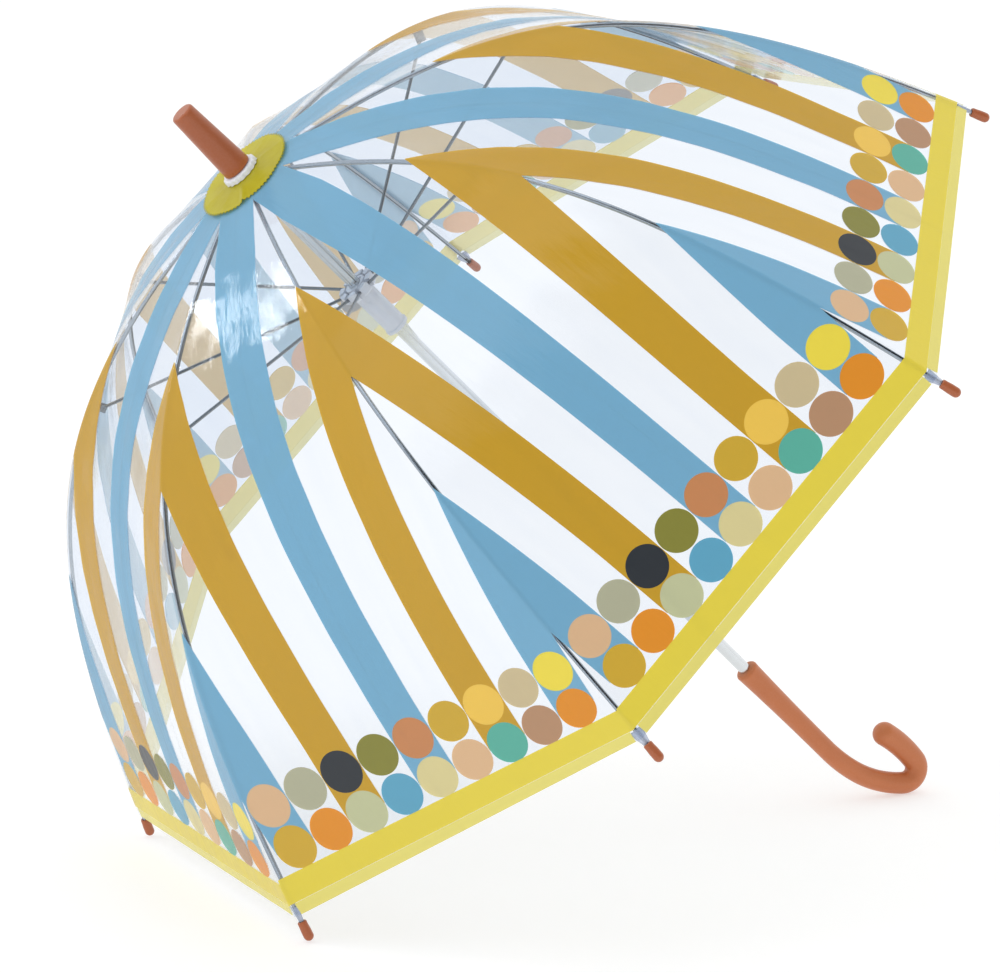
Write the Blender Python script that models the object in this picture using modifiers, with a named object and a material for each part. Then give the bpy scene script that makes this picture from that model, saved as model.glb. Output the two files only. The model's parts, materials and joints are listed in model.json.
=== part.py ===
"""Children's dome umbrella, open, lying on two rib tips and the bend of its hook handle.

The pieces are modelled with the shaft upright: +Z runs along the shaft to the ferrule, the
hem lies in the plane Z = 0 and the hook opens towards +X. An empty then leans the whole
umbrella over until the two lowest rib tips and the hook touch one floor, and moves it so
that the middle of its box's underside is the origin.
"""

from math import atan2, cos, pi, radians, sin

import bmesh
import bpy
from mathutils import Matrix, Vector

# Metres and degrees.
RIB_COUNT = 8
HEM_RADIUS = 0.350  # shaft axis to a corner of the hem
DOME_HEIGHT = 0.281  # hem plane to the film at the crown
CROWN_HOLE = 0.010  # shaft axis to the film's inner edge
CROWN_SLOPE = 8.0  # fall of the film at the crown
HEM_SLOPE = 66.0  # fall of the film at the hem
CROWN_REACH = 0.185  # how far the crown's slope pulls the dome's curve
HEM_REACH = 0.222  # how far the hem's slope pulls it
DOME_STEPS = 13

FILM = 0.0004
GAP = 0.0003  # between pieces that touch
FOLD_ANGLE = 48.0  # turn of a rib from open to closed

SHAFT_RADIUS = 0.0040
SHAFT_WALL = 0.0006
SHAFT_IN_FERRULE = 0.028
SHAFT_IN_HANDLE = 0.035
BORE_FIT = 0.0003  # shaft to a bore around it

RIB_RADIUS = 0.0014
RIB_PAST_HEM = 0.012
EYE_RADIUS = 0.0019
EYE_WIDTH = 0.0024
NOTCH_WIRE_RADIUS = 0.0005
SLOT_SIDE_PLAY = 0.0004

STRETCHER_AT = 0.170  # shaft axis to the joint on the rib
STRETCHER_DROP = 0.0068  # joint below the middle of the rib
STRETCHER_RADIUS = 0.0011
RIVET_RADIUS = 0.0008
CHEEK = 0.0007
CHEEK_WIDTH = 0.0044
CHEEK_PAST_RIVET = 0.0020
RIVET_PROUD = 0.0004

TIP_RADIUS = 0.0031
TIP_LENGTH = 0.0128
TIP_BORE_DEPTH = 0.0085
TIP_CHAMFER = 0.0005
TIP_END = 0.0170  # past the corner of the hem

RING_RADIUS = 0.0125
RING_HEIGHT = 0.0034
RING_CHAMFER = 0.0011
ROSETTE_RADIUS = 0.0330
ROSETTE_FILM = 0.0005

FERRULE_BASE_RADIUS = 0.0094
FERRULE_TIP_RADIUS = 0.0076
FERRULE_LENGTH = 0.0500
FERRULE_ROUNDING = 0.0015
FERRULE_CHAMFER = 0.0007

NOTCH_RADIUS = 0.0132
NOTCH_HEIGHT = 0.0060

RUNNER_RADIUS = 0.0073
RUNNER_LENGTH = 0.040
COLLAR_RADIUS = 0.0128
COLLAR_HEIGHT = 0.0064
COLLAR_CHAMFER = 0.0010
FLANGE_PROUD = 0.0007  # the runner's foot, out of its sleeve
FLANGE_HEIGHT = 0.0020
RUNNER_WIRE_RADIUS = 0.0004

CATCH_LENGTH = 0.018
CATCH_SHOULDER = 0.0027
CATCH_WIDTH = 0.0014
CATCH_PROUD = 0.0014  # out of the shaft
CATCH_DEEP = 0.0012  # into the shaft's wall and past it
CATCH_PLAY = 0.0004
STOP_PIN_RADIUS = 0.0008
STOP_PIN_PROUD = 0.0018

HANDLE_TOP = -0.205  # height of the handle's open end
HANDLE_RADIUS = 0.0079  # at that end
HANDLE_WAIST_RADIUS = 0.0064  # where the handle begins to bend
HOOK_END_RADIUS = 0.0081
HANDLE_LIP = 0.0022
HANDLE_STRAIGHT = 0.087
# The hook's bends one after another: radius of the middle line, and turn.
HOOK_BENDS = ((0.121, 12.3), (0.082, 27.5), (0.012, 24.5), (0.0091, 109.4), (0.092, 18.9))
HOOK_STEP = 0.0030
HOOK_END_TURN = 83.0  # how far round the hook's ball end its last ring is
SLOT_REACH = 0.020  # cutters of radial slots, past any hub


# ---------------------------------------------------------------- the dome's lines


def dome_profile():
    """Points (radius, height) of the film above a rib, from crown to hem: one cubic curve."""
    crown = Vector((CROWN_HOLE, DOME_HEIGHT))
    hem = Vector((HEM_RADIUS, 0.0))
    out = Vector((cos(radians(CROWN_SLOPE)), -sin(radians(CROWN_SLOPE)))) * CROWN_REACH
    back = Vector((cos(radians(HEM_SLOPE)), -sin(radians(HEM_SLOPE)))) * HEM_REACH
    points = []
    for i in range(DOME_STEPS + 1):
        t = i / DOME_STEPS
        s = 1.0 - t
        points.append(
            crown * s**3
            + (crown + out) * (3 * s * s * t)
            + (hem - back) * (3 * s * t * t)
            + hem * t**3
        )
    return points


def offset(points, distance):
    """The same line moved out of the dome by this distance, or into it where it is negative."""
    moved = []
    for i, point in enumerate(points):
        along = points[min(i + 1, len(points) - 1)] - points[max(i - 1, 0)]
        along.normalize()
        moved.append(point + Vector((-along.y, along.x)) * distance)
    return moved


def at_radius(points, radius):
    """Point and direction of a line where it crosses this radius."""
    for a, b in zip(points, points[1:]):
        if a.x <= radius <= b.x:
            return a.lerp(b, (radius - a.x) / (b.x - a.x)), (b - a).normalized()
    raise ValueError("the line doesn't reach this radius")


PROFILE = dome_profile()
RIB_LINE = offset(PROFILE, -(FILM / 2 + GAP + max(RIB_RADIUS, EYE_RADIUS)))
RIB_SIDE = max(RIB_RADIUS, EYE_WIDTH / 2)  # half the width of a rib and its eye
PIVOT = RIB_LINE[0]
HEM_ALONG = (RIB_LINE[-1] - RIB_LINE[-2]).normalized()

BRACKET, BRACKET_ALONG = at_radius(RIB_LINE, STRETCHER_AT)
JOINT = BRACKET + Vector((BRACKET_ALONG.y, -BRACKET_ALONG.x)) * STRETCHER_DROP
# The stretcher is as long as the rib's inner arm, so that its foot keeps the pivot's radius.
ARM = (JOINT - PIVOT).length
ARM_FALL = atan2(PIVOT.y - JOINT.y, JOINT.x - PIVOT.x)
RUNNER_Z = 2 * JOINT.y - PIVOT.y
RUNNER_TRAVEL = 2 * ARM * (sin(ARM_FALL + radians(FOLD_ANGLE)) - sin(ARM_FALL))

RING_BASE = DOME_HEIGHT + FILM / 2 + GAP + ROSETTE_FILM + GAP
FERRULE_BASE = RING_BASE + RING_HEIGHT + GAP
RUNNER_TOP = RUNNER_Z + COLLAR_HEIGHT / 2
RUNNER_BASE = RUNNER_TOP - RUNNER_LENGTH
STRETCHER_FOOT = RUNNER_WIRE_RADIUS + GAP + STRETCHER_RADIUS  # runner wire to stretcher line


def hook_line():
    """Middle line of the handle as (x, z): straight down, then the bends."""
    point = Vector((0.0, HANDLE_TOP))
    heading = 0.0
    line = [point.copy()]

    def walk(length, turn):
        nonlocal point, heading
        steps = max(1, round(length / HOOK_STEP))
        for _ in range(steps):
            heading += turn / steps / 2
            point = point + Vector((sin(heading), -cos(heading))) * (length / steps)
            heading += turn / steps / 2
            line.append(point.copy())

    walk(HANDLE_STRAIGHT, 0.0)
    for radius, turn in HOOK_BENDS:
        walk(radius * radians(turn), radians(turn))
    return line


def grip_radii(line):
    """Radius of the handle at each point of its middle line: slimmest where it begins to bend."""
    passed = [0.0]
    for here, there in zip(line, line[1:]):
        passed.append(passed[-1] + (there - here).length)
    radii = []
    for gone in passed:
        if gone < HANDLE_STRAIGHT:
            fuller = (HANDLE_RADIUS - HANDLE_WAIST_RADIUS) * (1 - gone / HANDLE_STRAIGHT) ** 2
        else:
            share = (gone - HANDLE_STRAIGHT) / (passed[-1] - HANDLE_STRAIGHT)
            fuller = (HOOK_END_RADIUS - HANDLE_WAIST_RADIUS) * share
        radii.append(HANDLE_WAIST_RADIUS + fuller)
    return radii


def lowest(points, radii, lean):
    """Height of the lowest point of a rod along these (x, z) points, once leant over."""
    heights = [p.y * cos(lean) + p.x * sin(lean) - radius for p, radius in zip(points, radii)]
    return min(heights)


def resting_lean():
    """Angle from upright at which two rib tips and the hook reach the same floor."""
    half = pi / RIB_COUNT
    reach = TIP_END - TIP_RADIUS
    end = PROFILE[-1] + HEM_ALONG * reach
    tip = [Vector((-end.x * cos(half), end.y))]
    hook = hook_line()
    thickness = grip_radii(hook)
    low, high = radians(20), radians(70)
    for _ in range(50):
        lean = (low + high) / 2
        if lowest(tip, [TIP_RADIUS], lean) > lowest(hook, thickness, lean):
            low = lean
        else:
            high = lean
    return lean


# ---------------------------------------------------------------- making shapes


def material(name, colour, roughness, metallic=0.0, alpha=1.0):
    made = bpy.data.materials.new(name)
    made.use_nodes = True
    shader = made.node_tree.nodes["Principled BSDF"]
    shader.inputs["Base Color"].default_value = (*colour, 1.0)
    shader.inputs["Roughness"].default_value = roughness
    shader.inputs["Metallic"].default_value = metallic
    shader.inputs["Alpha"].default_value = alpha
    return made


def place(name, mesh, finish, parent, location=(0, 0, 0), turn=0.0):
    """A new object of the umbrella, in its parent's space."""
    obj = bpy.data.objects.new(name, mesh)
    obj.data.materials.clear()
    obj.data.materials.append(finish)
    obj.location = location
    obj.rotation_euler.z = turn
    obj.parent = parent
    PARTS.objects.link(obj)
    return obj


def shade(mesh):
    mesh.shade_smooth()
    mesh.set_sharp_from_angle(angle=radians(40))
    return mesh


def evaluated_mesh(obj):
    """The object's mesh with its modifiers applied and its caps welded."""
    graph = bpy.context.evaluated_depsgraph_get()
    graph.update()
    mesh = bpy.data.meshes.new_from_object(obj.evaluated_get(graph))
    bm = bmesh.new()
    bm.from_mesh(mesh)
    bmesh.ops.remove_doubles(bm, verts=bm.verts, dist=1e-6)
    bmesh.ops.recalc_face_normals(bm, faces=bm.faces)
    bm.to_mesh(mesh)
    bm.free()
    return mesh


def scratch(name, data):
    obj = bpy.data.objects.new(name, data)
    CUTTERS.objects.link(obj)
    obj.hide_render = True
    obj.display_type = "WIRE"
    return obj


def rod_mesh(name, points, radius, sides=8, cyclic=False, radii=None):
    """A round wire or tube along these points."""
    curve = bpy.data.curves.new(name, "CURVE")
    curve.dimensions = "3D"
    curve.bevel_depth = radius
    curve.bevel_resolution = sides // 2 - 2
    curve.use_fill_caps = not cyclic
    spline = curve.splines.new("POLY")
    spline.points.add(len(points) - 1)
    for i, (target, point) in enumerate(zip(spline.points, points)):
        target.co = (*point, 1.0)
        target.radius = radii[i] if radii else 1.0
    spline.use_cyclic_u = cyclic
    obj = scratch(name, curve)
    mesh = evaluated_mesh(obj)
    bpy.data.objects.remove(obj)
    return shade(mesh)


def turned_mesh(name, outline, steps=24, closed=True):
    """A turned shape. The outline of (radius, height) runs down its outer side."""
    mesh = bpy.data.meshes.new(name)
    bm = bmesh.new()
    verts = [bm.verts.new((r, 0.0, z)) for r, z in outline]
    for a, b in zip(verts, verts[1:]):
        bm.edges.new((a, b))
    if closed:
        bm.edges.new((verts[-1], verts[0]))
    bm.to_mesh(mesh)
    bm.free()
    obj = scratch(name, mesh)
    screw = obj.modifiers.new("turn", "SCREW")
    screw.steps = steps
    screw.render_steps = steps
    screw.use_merge_vertices = True
    screw.merge_threshold = 0.00001
    made = evaluated_mesh(obj)
    bpy.data.objects.remove(obj)
    return shade(made)


def box_mesh(name, size, middle=(0, 0, 0), turn=0.0):
    mesh = bpy.data.meshes.new(name)
    bm = bmesh.new()
    matrix = Matrix.Rotation(turn, 4, "Z") @ Matrix.Translation(middle)
    matrix = matrix @ Matrix.Diagonal((*size, 1))
    bmesh.ops.create_cube(bm, size=1.0, matrix=matrix)
    bm.to_mesh(mesh)
    bm.free()
    return mesh


def cylinder_mesh(name, radius, length, middle=(0, 0, 0), axis="Z", sides=16):
    mesh = bpy.data.meshes.new(name)
    bm = bmesh.new()
    turn = {"Z": Matrix(), "Y": Matrix.Rotation(pi / 2, 4, "X")}
    bmesh.ops.create_cone(
        bm,
        cap_ends=True,
        segments=sides,
        radius1=radius,
        radius2=radius,
        depth=length,
        matrix=Matrix.Translation(middle) @ turn[axis],
    )
    bm.to_mesh(mesh)
    bm.free()
    return mesh


def combined(mesh, others, operation):
    """The mesh joined with or cut by each of the others in turn."""
    obj = scratch(mesh.name, mesh)
    helpers = []
    for other in others:
        helper = scratch(other.name, other)
        boolean = obj.modifiers.new(operation.lower(), "BOOLEAN")
        boolean.operation = operation
        boolean.object = helper
        helpers.append(helper)
    made = evaluated_mesh(obj)
    for helper in helpers + [obj]:
        bpy.data.objects.remove(helper)
    return made


def quarter_turns(steps):
    """Angles from 0 to 90 degrees."""
    return [pi / 2 * i / steps for i in range(steps + 1)]


def rib_azimuths():
    return [2 * pi * (k + 0.5) / RIB_COUNT for k in range(RIB_COUNT)]


def radial_slots(name, inner, width, low, high):
    """Boxes that cut a slot at each rib, from this radius outwards."""
    middle = (inner + SLOT_REACH / 2, 0, (low + high) / 2)
    size = (SLOT_REACH, width, high - low)
    return [box_mesh(name, size, middle, turn) for turn in rib_azimuths()]


# ---------------------------------------------------------------- shaft and its fittings


def bore_radius():
    return SHAFT_RADIUS + BORE_FIT


def catch_slot(base):
    """Box that cuts a catch's slot out of the shaft's +X side."""
    size = (SHAFT_RADIUS, CATCH_WIDTH + 2 * CATCH_PLAY, CATCH_LENGTH + 2 * CATCH_PLAY)
    return box_mesh("catch_slot", size, (SHAFT_RADIUS, 0, base + CATCH_LENGTH / 2))


def catch_bases():
    """Lower ends of the catches: just under the open runner, and inside the closed one."""
    top = RUNNER_BASE - 2 * GAP - CATCH_LENGTH
    bottom = RUNNER_BASE - RUNNER_TRAVEL + 2 * GAP
    return top, bottom


def stop_pin_z():
    return RUNNER_TOP + GAP + STOP_PIN_RADIUS


def make_shaft(parent, steel):
    top = FERRULE_BASE + SHAFT_IN_FERRULE
    base = HANDLE_TOP - SHAFT_IN_HANDLE
    inner = SHAFT_RADIUS - SHAFT_WALL
    outline = [(SHAFT_RADIUS, top), (SHAFT_RADIUS, base), (inner, base), (inner, top)]
    tube = turned_mesh("shaft_tube", outline, 24)
    cuts = [catch_slot(z) for z in catch_bases()]
    hole = STOP_PIN_RADIUS + GAP / 2
    cuts.append(cylinder_mesh("pin_hole", hole, 4 * SHAFT_RADIUS, (0, 0, stop_pin_z()), "Y"))
    tube = combined(tube, cuts, "DIFFERENCE")
    place("shaft_tube", shade(tube), steel, parent)
    length = 2 * (SHAFT_RADIUS + STOP_PIN_PROUD)
    pin = cylinder_mesh("stop_pin", STOP_PIN_RADIUS, length, (0, 0, stop_pin_z()), "Y", 12)
    place("stop_pin", shade(pin), steel, parent)


def make_catches(parent, steel):
    """Sprung catches that stand out of the shaft: a square shoulder and a ramp."""
    inside = SHAFT_RADIUS - SHAFT_WALL - CATCH_DEEP
    proud = SHAFT_RADIUS + CATCH_PROUD
    outline = [
        (inside, 0.0),
        (SHAFT_RADIUS - SHAFT_WALL / 2, 0.0),
        (proud, CATCH_LENGTH - CATCH_SHOULDER),
        (proud, CATCH_LENGTH),
        (inside, CATCH_LENGTH),
    ]
    for name, base in zip(("top_catch", "bottom_catch"), catch_bases()):
        mesh = bpy.data.meshes.new(name)
        bm = bmesh.new()
        verts = [bm.verts.new((x, -CATCH_WIDTH / 2, z)) for x, z in outline]
        face = bm.faces.new(verts)
        side = bmesh.ops.extrude_face_region(bm, geom=[face])
        moved = [v for v in side["geom"] if isinstance(v, bmesh.types.BMVert)]
        bmesh.ops.translate(bm, verts=moved, vec=(0, CATCH_WIDTH, 0))
        bmesh.ops.recalc_face_normals(bm, faces=bm.faces)
        bm.to_mesh(mesh)
        bm.free()
        place(name, mesh, steel, parent, (0, 0, base))


def make_ferrule(parent, plastic):
    top = FERRULE_BASE + FERRULE_LENGTH
    bore = bore_radius()
    bore_top = FERRULE_BASE + SHAFT_IN_FERRULE + GAP
    outline = [(0.0, top)]
    for turn in quarter_turns(3):
        radius = FERRULE_TIP_RADIUS - FERRULE_ROUNDING * (1 - sin(turn))
        outline.append((radius, top - FERRULE_ROUNDING * (1 - cos(turn))))
    outline += [
        (FERRULE_BASE_RADIUS, FERRULE_BASE + FERRULE_CHAMFER),
        (FERRULE_BASE_RADIUS - FERRULE_CHAMFER, FERRULE_BASE),
        (bore, FERRULE_BASE),
        (bore, bore_top),
        (0.0, bore_top),
    ]
    place("ferrule", turned_mesh("ferrule", outline, 32, closed=False), plastic, parent)


def make_crown(parent, white, yellow):
    """The ring under the ferrule and the thin rosette that it clamps on the film."""
    top = RING_BASE + RING_HEIGHT
    bore = bore_radius()
    outline = [
        (bore, top),
        (RING_RADIUS - RING_CHAMFER, top),
        (RING_RADIUS, top - RING_CHAMFER),
        (RING_RADIUS, RING_BASE),
        (bore, RING_BASE),
    ]
    place("crown_ring", turned_mesh("crown_ring", outline, 24), white, parent)

    lift = FILM / 2 + GAP
    under = offset(PROFILE, lift)
    over = offset(PROFILE, lift + ROSETTE_FILM)
    rim_in, _ = at_radius(under, ROSETTE_RADIUS)
    rim_out, _ = at_radius(over, ROSETTE_RADIUS)
    inner = SHAFT_RADIUS + 2 * BORE_FIT
    outline = [(inner, over[0].y), (over[0].x, over[0].y), tuple(rim_out)]
    outline += [tuple(rim_in), (under[0].x, under[0].y), (inner, under[0].y)]
    rosette = turned_mesh("crown_rosette", outline, RIB_COUNT)
    place("crown_rosette", rosette, yellow, parent, turn=pi / RIB_COUNT)


def make_top_notch(parent, white, steel):
    """The slotted hub that the ribs hinge in, and the wire ring through their eyes."""
    under = offset(PROFILE, -FILM / 2)
    lowest_film, _ = at_radius(under, NOTCH_RADIUS / cos(pi / RIB_COUNT))
    top = lowest_film.y - GAP
    base = top - NOTCH_HEIGHT
    groove = NOTCH_WIRE_RADIUS + GAP
    bore = bore_radius()
    outline = [
        (bore, top),
        (NOTCH_RADIUS, top),
        (NOTCH_RADIUS, base),
        (PIVOT.x + groove, base),
        (PIVOT.x + groove, PIVOT.y + groove),
        (PIVOT.x - groove, PIVOT.y + groove),
        (PIVOT.x - groove, base),
        (bore, base),
    ]
    hub = turned_mesh("top_notch", outline, 32)
    width = 2 * (RIB_SIDE + SLOT_SIDE_PLAY)
    inner = PIVOT.x - EYE_RADIUS - SLOT_SIDE_PLAY
    slots = radial_slots("notch_slot", inner, width, base - NOTCH_HEIGHT, top + NOTCH_HEIGHT)
    hub = combined(hub, slots, "DIFFERENCE")
    place("top_notch", shade(hub), white, parent)
    place("notch_wire", ring_mesh("notch_wire", PIVOT.x, NOTCH_WIRE_RADIUS, PIVOT.y), steel, parent)


def ring_mesh(name, radius, wire_radius, height, count=32):
    turns = [2 * pi * i / count for i in range(count)]
    points = [(radius * cos(a), radius * sin(a), height) for a in turns]
    return rod_mesh(name, points, wire_radius, sides=6, cyclic=True)


def make_handle(parent, plastic):
    """The straight grip, the hook and its ball end, with a rounded lip where the shaft goes in."""
    line = hook_line()
    lip = quarter_turns(3)
    points = [Vector((0.0, HANDLE_TOP - HANDLE_LIP * (1 - cos(turn)))) for turn in lip]
    radii = [HANDLE_RADIUS - HANDLE_LIP * (1 - sin(turn)) for turn in lip]
    points += line[1:]
    radii += grip_radii(line)[1:]
    along = (line[-1] - line[-2]).normalized()
    rings = 5
    for i in range(1, rings + 1):
        turn = radians(HOOK_END_TURN) * i / rings
        points.append(line[-1] + along * HOOK_END_RADIUS * sin(turn))
        radii.append(HOOK_END_RADIUS * cos(turn))
    route = [(point.x, 0.0, point.y) for point in points]
    shares = [radius / HANDLE_RADIUS for radius in radii]
    handle = rod_mesh("handle", route, HANDLE_RADIUS, sides=20, radii=shares)
    depth = SHAFT_IN_HANDLE + GAP
    cut = cylinder_mesh("handle_bore", bore_radius(), 2 * depth, (0, 0, HANDLE_TOP), sides=20)
    place("handle", shade(combined(handle, [cut], "DIFFERENCE")), plastic, parent)


# ---------------------------------------------------------------- runner


def make_runner(parent, white, steel):
    """A sleeve that slides on the shaft, with a slotted collar for the stretchers."""
    bore = bore_radius()
    collar_base = RUNNER_TOP - COLLAR_HEIGHT
    wire_at = PIVOT.x - STRETCHER_FOOT
    groove = RUNNER_WIRE_RADIUS + GAP
    outline = [
        (bore, RUNNER_TOP),
        (wire_at - groove, RUNNER_TOP),
        (wire_at - groove, RUNNER_Z - groove),
        (wire_at + groove, RUNNER_Z - groove),
        (wire_at + groove, RUNNER_TOP),
        (COLLAR_RADIUS, RUNNER_TOP),
        (COLLAR_RADIUS, collar_base + COLLAR_CHAMFER),
        (COLLAR_RADIUS - COLLAR_CHAMFER, collar_base),
        (RUNNER_RADIUS, collar_base),
        (RUNNER_RADIUS, RUNNER_BASE + FLANGE_HEIGHT + FLANGE_PROUD),
        (RUNNER_RADIUS + FLANGE_PROUD, RUNNER_BASE + FLANGE_HEIGHT),
        (RUNNER_RADIUS + FLANGE_PROUD, RUNNER_BASE),
        (bore, RUNNER_BASE),
    ]
    sleeve = turned_mesh("runner", outline, 32)
    width = 2 * (STRETCHER_RADIUS + SLOT_SIDE_PLAY)
    low, high = collar_base - COLLAR_HEIGHT, RUNNER_TOP + COLLAR_HEIGHT
    cuts = radial_slots("collar_slot", wire_at - groove, width, low, high)
    depth = SHAFT_RADIUS + CATCH_PROUD + CATCH_PLAY
    size = (depth, CATCH_WIDTH + 2 * CATCH_PLAY, 2 * RUNNER_LENGTH)
    cuts.append(box_mesh("catch_way", size, (depth / 2, 0, RUNNER_BASE)))
    place("runner", shade(combined(sleeve, cuts, "DIFFERENCE")), white, parent)
    wire = ring_mesh("runner_wire", wire_at, RUNNER_WIRE_RADIUS, RUNNER_Z)
    place("runner_wire", wire, steel, parent)


# ---------------------------------------------------------------- ribs and what rides on them


def from_pivot(point, across=0.0):
    """A point of the dome's section, as seen from the rib's hinge."""
    return (point.x - PIVOT.x, across, point.y - PIVOT.y)


def rib_mesh():
    line = RIB_LINE + [RIB_LINE[-1] + HEM_ALONG * RIB_PAST_HEM]
    rod = rod_mesh("rib", [from_pivot(p) for p in line], RIB_RADIUS)
    eye = cylinder_mesh("rib_eye", EYE_RADIUS, EYE_WIDTH, axis="Y", sides=12)
    hole = cylinder_mesh("eye_hole", NOTCH_WIRE_RADIUS + GAP, 2 * EYE_WIDTH, axis="Y", sides=12)
    return shade(combined(combined(rod, [eye], "UNION"), [hole], "DIFFERENCE"))


def tip_mesh():
    """A round-ended cap pushed on the end of a rib. It is turned about +Z, from its mouth."""
    bore = RIB_RADIUS + GAP
    straight = TIP_LENGTH - TIP_RADIUS
    outline = []
    for turn in quarter_turns(5):
        outline.append((TIP_RADIUS * sin(turn), straight + TIP_RADIUS * cos(turn)))
    outline += [
        (TIP_RADIUS, TIP_CHAMFER),
        (TIP_RADIUS - TIP_CHAMFER, 0.0),
        (bore, 0.0),
        (bore, TIP_BORE_DEPTH),
        (0.0, TIP_BORE_DEPTH),
    ]
    mesh = turned_mesh("rib_tip", outline, 14, closed=False)
    start = RIB_LINE[-1] + HEM_ALONG * (TIP_END - TIP_LENGTH)
    along_rib = Matrix.Rotation(atan2(HEM_ALONG.x, HEM_ALONG.y), 4, "Y")
    mesh.transform(Matrix.Translation(from_pivot(start)) @ along_rib)
    return mesh


def bracket_mesh():
    """Two cheeks beside the rib, held together by the rivet that the stretcher turns on."""
    side = RIB_SIDE + GAP + CHEEK / 2
    down = (JOINT - BRACKET).normalized()
    length = RIB_RADIUS + STRETCHER_DROP + CHEEK_PAST_RIVET
    middle = BRACKET + down * (length / 2 - RIB_RADIUS)
    turn = Matrix.Rotation(atan2(-BRACKET_ALONG.y, BRACKET_ALONG.x), 4, "Y")
    cheeks = []
    for way in (-1, 1):
        cheek = box_mesh("cheek", (CHEEK_WIDTH, CHEEK, length))
        cheek.transform(Matrix.Translation(from_pivot(middle, way * side)) @ turn)
        cheeks.append(cheek)
    width = 2 * side + CHEEK + 2 * RIVET_PROUD
    rivet = cylinder_mesh("rivet", RIVET_RADIUS, width, from_pivot(JOINT), "Y", 12)
    return combined(rivet, cheeks, "UNION")


def stretcher_mesh():
    """A straight wire from its eye on the rivet, at the origin, to the runner's collar."""
    inward = Vector((-cos(ARM_FALL), 0, -sin(ARM_FALL)))
    start = inward * (RIVET_RADIUS + GAP)
    rod = rod_mesh("stretcher", [start, inward * ARM], STRETCHER_RADIUS)
    eye = cylinder_mesh("stretcher_eye", EYE_RADIUS, EYE_WIDTH, axis="Y", sides=12)
    hole = cylinder_mesh("rivet_hole", RIVET_RADIUS + GAP, 2 * EYE_WIDTH, axis="Y", sides=12)
    return shade(combined(combined(rod, [eye], "UNION"), [hole], "DIFFERENCE"))


def canopy_mesh():
    """The film on both sides of one rib, as far as the middle of each gore."""
    half = pi / RIB_COUNT
    mesh = bpy.data.meshes.new("canopy")
    bm = bmesh.new()
    verts = [bm.verts.new((p.x, 0.0, p.y)) for p in PROFILE]
    edges = [bm.edges.new(pair) for pair in zip(verts, verts[1:])]
    made = bmesh.ops.extrude_edge_only(bm, edges=edges)
    far = [v for v in made["geom"] if isinstance(v, bmesh.types.BMVert)]
    # The middle of a gore lies on the straight line between neighbouring ribs.
    to_middle = Matrix.Identity(4)
    to_middle[0][0] = cos(half) ** 2
    to_middle[1][0] = cos(half) * sin(half)
    bmesh.ops.transform(bm, matrix=to_middle, verts=far)
    seam = Vector((sin(half), -cos(half), 0)) * GAP / 2
    bmesh.ops.translate(bm, vec=seam, verts=far)
    bmesh.ops.mirror(bm, geom=bm.verts[:] + bm.edges[:] + bm.faces[:], axis="Y", merge_dist=1e-6)
    bmesh.ops.remove_doubles(bm, verts=bm.verts, dist=1e-6)
    bmesh.ops.recalc_face_normals(bm, faces=bm.faces)
    upward = [f for f in bm.faces if f.normal.z > 0]
    if len(upward) < len(bm.faces) / 2:
        bmesh.ops.reverse_faces(bm, faces=bm.faces)
    bmesh.ops.translate(bm, vec=(-PIVOT.x, 0, -PIVOT.y), verts=bm.verts)
    bm.to_mesh(mesh)
    bm.free()
    obj = scratch("canopy", mesh)
    wall = obj.modifiers.new("film", "SOLIDIFY")
    wall.thickness = FILM
    wall.offset = 0.0
    wall.use_even_offset = True
    film = evaluated_mesh(obj)
    bpy.data.objects.remove(obj)
    return film


def make_ribs(parent, finishes):
    rib, tip, bracket = rib_mesh(), tip_mesh(), bracket_mesh()
    stretcher, film = stretcher_mesh(), canopy_mesh()
    for k, azimuth in enumerate(rib_azimuths(), 1):
        hinge = (PIVOT.x * cos(azimuth), PIVOT.x * sin(azimuth), PIVOT.y)
        arm = place(f"rib_{k}", rib, finishes["steel"], parent, hinge, azimuth)
        place(f"rib_tip_{k}", tip, finishes["terracotta"], arm)
        place(f"rib_joint_{k}", bracket, finishes["steel_dark"], arm)
        place(f"canopy_{k}", film, finishes["film"], arm)
        place(f"stretcher_{k}", stretcher, finishes["steel"], arm, from_pivot(JOINT))


# ---------------------------------------------------------------- the whole umbrella


def box_of(objects):
    """Lowest and highest corners of these objects in the world."""
    bpy.context.view_layer.update()
    graph = bpy.context.evaluated_depsgraph_get()
    low, high = Vector((1e9,) * 3), Vector((-1e9,) * 3)
    for obj in objects:
        evaluated = obj.evaluated_get(graph)
        for vertex in evaluated.data.vertices:
            point = evaluated.matrix_world @ vertex.co
            for i in range(3):
                low[i] = min(low[i], point[i])
                high[i] = max(high[i], point[i])
    return low, high


for old in list(bpy.data.objects):
    bpy.data.objects.remove(old)
PARTS = bpy.data.collections.new("childrens_umbrella")
CUTTERS = bpy.data.collections.new("cutters")
bpy.context.scene.collection.children.link(PARTS)
bpy.context.scene.collection.children.link(CUTTERS)

FINISHES = {
    "steel": material("bright_steel", (0.72, 0.74, 0.76), 0.25, metallic=1.0),
    "steel_dark": material("dark_steel", (0.20, 0.22, 0.24), 0.40, metallic=1.0),
    "terracotta": material("terracotta_plastic", (0.56, 0.15, 0.06), 0.40),
    "white": material("white_plastic", (0.85, 0.86, 0.88), 0.35),
    "yellow": material("yellow_film", (0.75, 0.70, 0.08), 0.30),
    "film": material("clear_film", (0.85, 0.90, 0.95), 0.08, alpha=0.35),
}

lean = bpy.data.objects.new("lean", None)
PARTS.objects.link(lean)
lean.rotation_euler.y = -resting_lean()

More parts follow.
